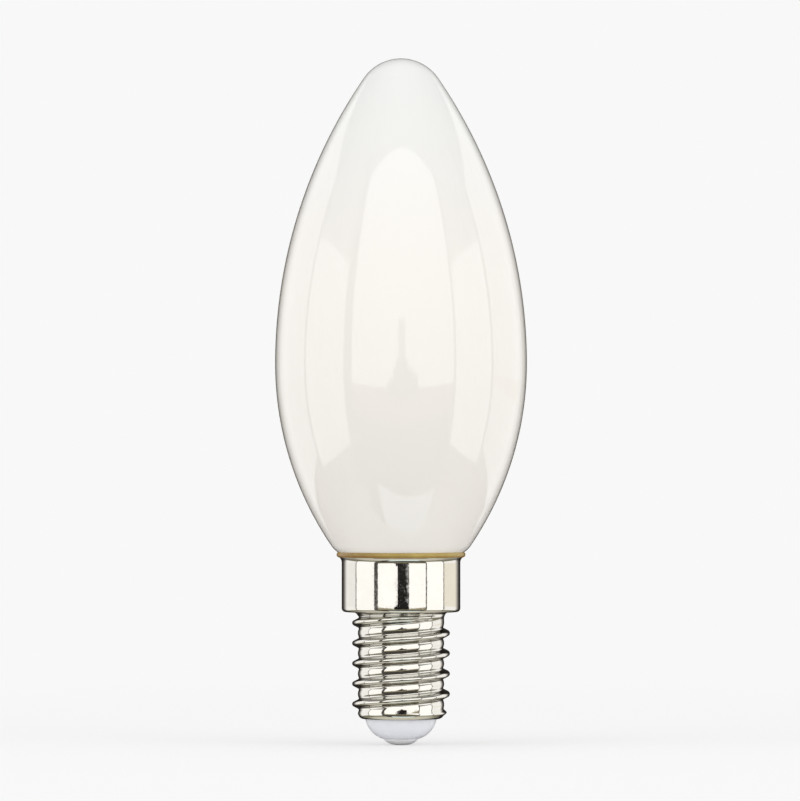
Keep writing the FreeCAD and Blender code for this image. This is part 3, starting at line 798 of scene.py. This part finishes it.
# Soft lights: name, azimuth, elevation, distance, size, brightness
LAMPS = (
    ("left_lamp", -55.0, 35.0, 1.0, 0.9, 0.9),
    ("right_lamp", 55.0, 30.0, 1.0, 0.9, 0.9),
    ("top_lamp", 0.0, 80.0, 1.0, 0.9, 0.7),
)


def facing(azimuth, elevation=0.0):
    """The direction from the lamp at degrees to the right of the camera and above it."""
    a, e = math.radians(azimuth), math.radians(elevation)
    return Vector((math.sin(a) * math.cos(e), -math.cos(a) * math.cos(e), math.sin(e)))


def upright_card(name, left, right, low, high, distance, height):
    """An upright card that spans two azimuths and two elevations, seen from the lamp."""
    rest_all()
    middle = (left + right) / 2
    width = 2 * distance * math.tan(math.radians(right - left) / 2)
    bottom = height + distance * math.tan(math.radians(low))
    top = height + distance * math.tan(math.radians(high))
    centre = facing(middle) * distance
    bpy.ops.mesh.primitive_plane_add(size=1, location=(centre.x, centre.y, (bottom + top) / 2))
    card = bpy.context.object
    card.name = name
    card.rotation_euler = (math.radians(90), 0, math.radians(middle))
    card.scale = (width, top - bottom, 1)
    bpy.ops.object.transform_apply(location=True, rotation=True, scale=True)
    return card


def card_material(name, brightness, tint):
    """A plain card that shines by itself."""
    material, tree, surface = bare_material(name)
    glow = add_node(tree, "ShaderNodeEmission", (0, 0))
    glow.inputs["Color"].default_value = rgba(tint)
    glow.inputs["Strength"].default_value = brightness
    tree.links.new(glow.outputs["Emission"], surface)
    return material


def backdrop_world(studio):
    """A pale room: its backdrop as seen, a plain fill on the lamp, and its ceiling and table in gloss."""
    world = bpy.data.worlds.new("pale_room")
    bpy.context.scene.world = world
    world.use_nodes = True
    tree = world.node_tree
    tree.nodes.clear()
    output = add_node(tree, "ShaderNodeOutputWorld", (900, 0))
    background = add_node(tree, "ShaderNodeBackground", (700, 0))
    path = add_node(tree, "ShaderNodeLightPath", (-500, 300))
    way = add_node(tree, "ShaderNodeTexCoord", (-700, -100)).outputs["Generated"]
    level = ramp(tree, (-300, -100), height_of(tree, way), start=-1.0, end=1.0, kind="LINEAR")
    room = add_node(tree, "ShaderNodeValToRGB", (-100, -100))
    stops = room.color_ramp.elements
    stops[0].position, stops[0].color = ROOM_LEVELS[0][0], rgba(ROOM_LEVELS[0][1])
    stops[1].position, stops[1].color = ROOM_LEVELS[-1][0], rgba(ROOM_LEVELS[-1][1])
    for position, tint in ROOM_LEVELS[1:-1]:
        stop = stops.new(position)
        stop.color = rgba(tint)
    seen = add_node(tree, "ShaderNodeMix", (450, 100), data_type="RGBA")
    seen.inputs["B"].default_value = rgba([studio.backdrop] * 3)
    gloss = add_node(tree, "ShaderNodeMix", (250, 0), data_type="RGBA")
    gloss.inputs["A"].default_value = rgba([studio.fill] * 3)
    link = tree.links.new
    link(level.outputs["Result"], room.inputs["Fac"])
    link(path.outputs["Is Glossy Ray"], gloss.inputs["Factor"])
    link(room.outputs["Color"], gloss.inputs["B"])
    link(path.outputs["Is Camera Ray"], seen.inputs["Factor"])
    link(gloss.outputs["Result"], seen.inputs["A"])
    link(seen.outputs["Result"], background.inputs["Color"])
    link(background.outputs["Background"], output.inputs["Surface"])


def floor_material(studio):
    """A pale floor that shows as the backdrop does, with the lamp's soft shadow near it."""
    material, tree, surface = bare_material("pale_floor")
    where = add_node(tree, "ShaderNodeTexCoord", (-900, -200)).outputs["Object"]
    reach = add_node(tree, "ShaderNodeVectorMath", (-700, -200), operation="LENGTH")
    near = ramp(tree, (-500, -200), reach.outputs["Value"], start=0.03, end=0.3, low=0.55)
    path = add_node(tree, "ShaderNodeLightPath", (-700, 200))
    seen = add_node(tree, "ShaderNodeMath", (-450, 200), operation="MAXIMUM")
    factor = add_node(tree, "ShaderNodeMath", (-200, 0), operation="MULTIPLY")
    matt = add_node(tree, "ShaderNodeBsdfDiffuse", (100, 150))
    matt.inputs["Color"].default_value = (0.86, 0.86, 0.86, 1.0)
    glow = add_node(tree, "ShaderNodeEmission", (100, -100))
    glow.inputs["Color"].default_value = rgba((1.0, 1.0, 1.0))
    glow.inputs["Strength"].default_value = studio.backdrop
    mix = add_node(tree, "ShaderNodeMixShader", (450, 0))
    link = tree.links.new
    link(where, reach.inputs[0])
    link(path.outputs["Is Camera Ray"], seen.inputs[0])
    link(path.outputs["Is Glossy Ray"], seen.inputs[1])
    link(seen.outputs[0], factor.inputs[0])
    link(near.outputs["Result"], factor.inputs[1])
    link(factor.outputs[0], mix.inputs["Fac"])
    link(matt.outputs["BSDF"], mix.inputs[1])
    link(glow.outputs["Emission"], mix.inputs[2])
    link(mix.outputs["Shader"], surface)
    return material


def soft_lamp(name, azimuth, elevation, distance, width, brightness, height):
    """A square soft light, turned towards the middle of the lamp."""
    light = bpy.data.lights.new(name, "AREA")
    light.size = width
    light.energy = brightness * math.pi * width**2
    lamp = bpy.data.objects.new(name, light)
    way = facing(azimuth, elevation)
    lamp.location = way * distance + Vector((0, 0, height))
    lamp.rotation_euler = way.to_track_quat("Z", "Y").to_euler()
    lamp.visible_glossy = False
    bpy.context.collection.objects.link(lamp)


class CANDLE_OT_studio(bpy.types.Operator):
    """Sets the floor, the light panels, the dark cards, the backdrop and the camera"""

    bl_idname = "candle.studio"
    bl_label = "Studio"

    def execute(self, context):
        scene = context.scene
        studio = scene.candle_studio
        rest_all()
        bpy.ops.mesh.primitive_circle_add(
            vertices=96, radius=FLOOR_RADIUS, fill_type="NGON", location=(0, 0, 0)
        )
        floor = bpy.context.object
        floor.name = "pale_floor"
        bpy.ops.object.mode_set(mode="EDIT")
        bpy.ops.mesh.select_all(action="SELECT")
        bpy.ops.mesh.inset(thickness=FLOOR_RADIUS - FLOOR_MIDDLE)
        bpy.ops.object.mode_set(mode="OBJECT")
        floor.data.materials.append(floor_material(studio))
        floor.visible_glossy = False
        for name, left, right, low, high, distance, brightness, tint in CARDS:
            card = upright_card(name, left, right, low, high, distance, studio.camera_height)
            card.data.materials.append(card_material(name, brightness, tint))
            card.visible_camera = False
            card.visible_diffuse = False
            card.visible_shadow = False
        for lamp in LAMPS:
            soft_lamp(*lamp, studio.camera_height)
        backdrop_world(studio)
        camera = bpy.data.cameras.new("photo_camera")
        camera.sensor_width = SENSOR_WIDTH
        camera.lens = SENSOR_WIDTH * studio.distance / studio.view
        camera.clip_start = 0.01
        viewer = bpy.data.objects.new("photo_camera", camera)
        viewer.location = (studio.camera_side, -studio.distance, studio.camera_height)
        viewer.rotation_euler = (math.radians(90), 0, 0)
        context.collection.objects.link(viewer)
        scene.camera = viewer
        scene.view_settings.view_transform = "Standard"
        return {"FINISHED"}


class CANDLE_PT_panel(bpy.types.Panel):
    """The lamp's pieces and its studio"""

    bl_idname = "CANDLE_PT_panel"
    bl_label = "Candle Lamp"
    bl_space_type = "VIEW_3D"
    bl_region_type = "UI"
    bl_category = "Candle Lamp"

    def draw(self, context):
        for operator in OPERATORS:
            self.layout.operator(operator.bl_idname)
        for name in SETTINGS:
            settings = getattr(context.scene, name)
            box = self.layout.box()
            box.label(text=name.replace("candle_", "").replace("_", " ").capitalize())
            for key in settings.__annotations__:
                box.prop(settings, key)


SETTINGS = {
    "candle_glass": CANDLE_PG_glass,
    "candle_cap": CANDLE_PG_cap,
    "candle_small_pieces": CANDLE_PG_small_pieces,
    "candle_finishes": CANDLE_PG_finishes,
    "candle_studio": CANDLE_PG_studio,
}
OPERATORS = (CANDLE_OT_glass, CANDLE_OT_screw_cap, CANDLE_OT_small_pieces, CANDLE_OT_studio)


def register():
    for cls in (*SETTINGS.values(), *OPERATORS, CANDLE_PT_panel):
        bpy.utils.register_class(cls)
    for name, cls in SETTINGS.items():
        setattr(bpy.types.Scene, name, bpy.props.PointerProperty(type=cls))


def unregister():
    for name in SETTINGS:
        delattr(bpy.types.Scene, name)
    for cls in (CANDLE_PT_panel, *OPERATORS, *SETTINGS.values()):
        bpy.utils.unregister_class(cls)


def main():
    register()
    bpy.ops.candle.glass()
    bpy.ops.candle.screw_cap()
    bpy.ops.candle.small_pieces()
    bpy.ops.candle.studio()


if __name__ == "__main__":
    main()
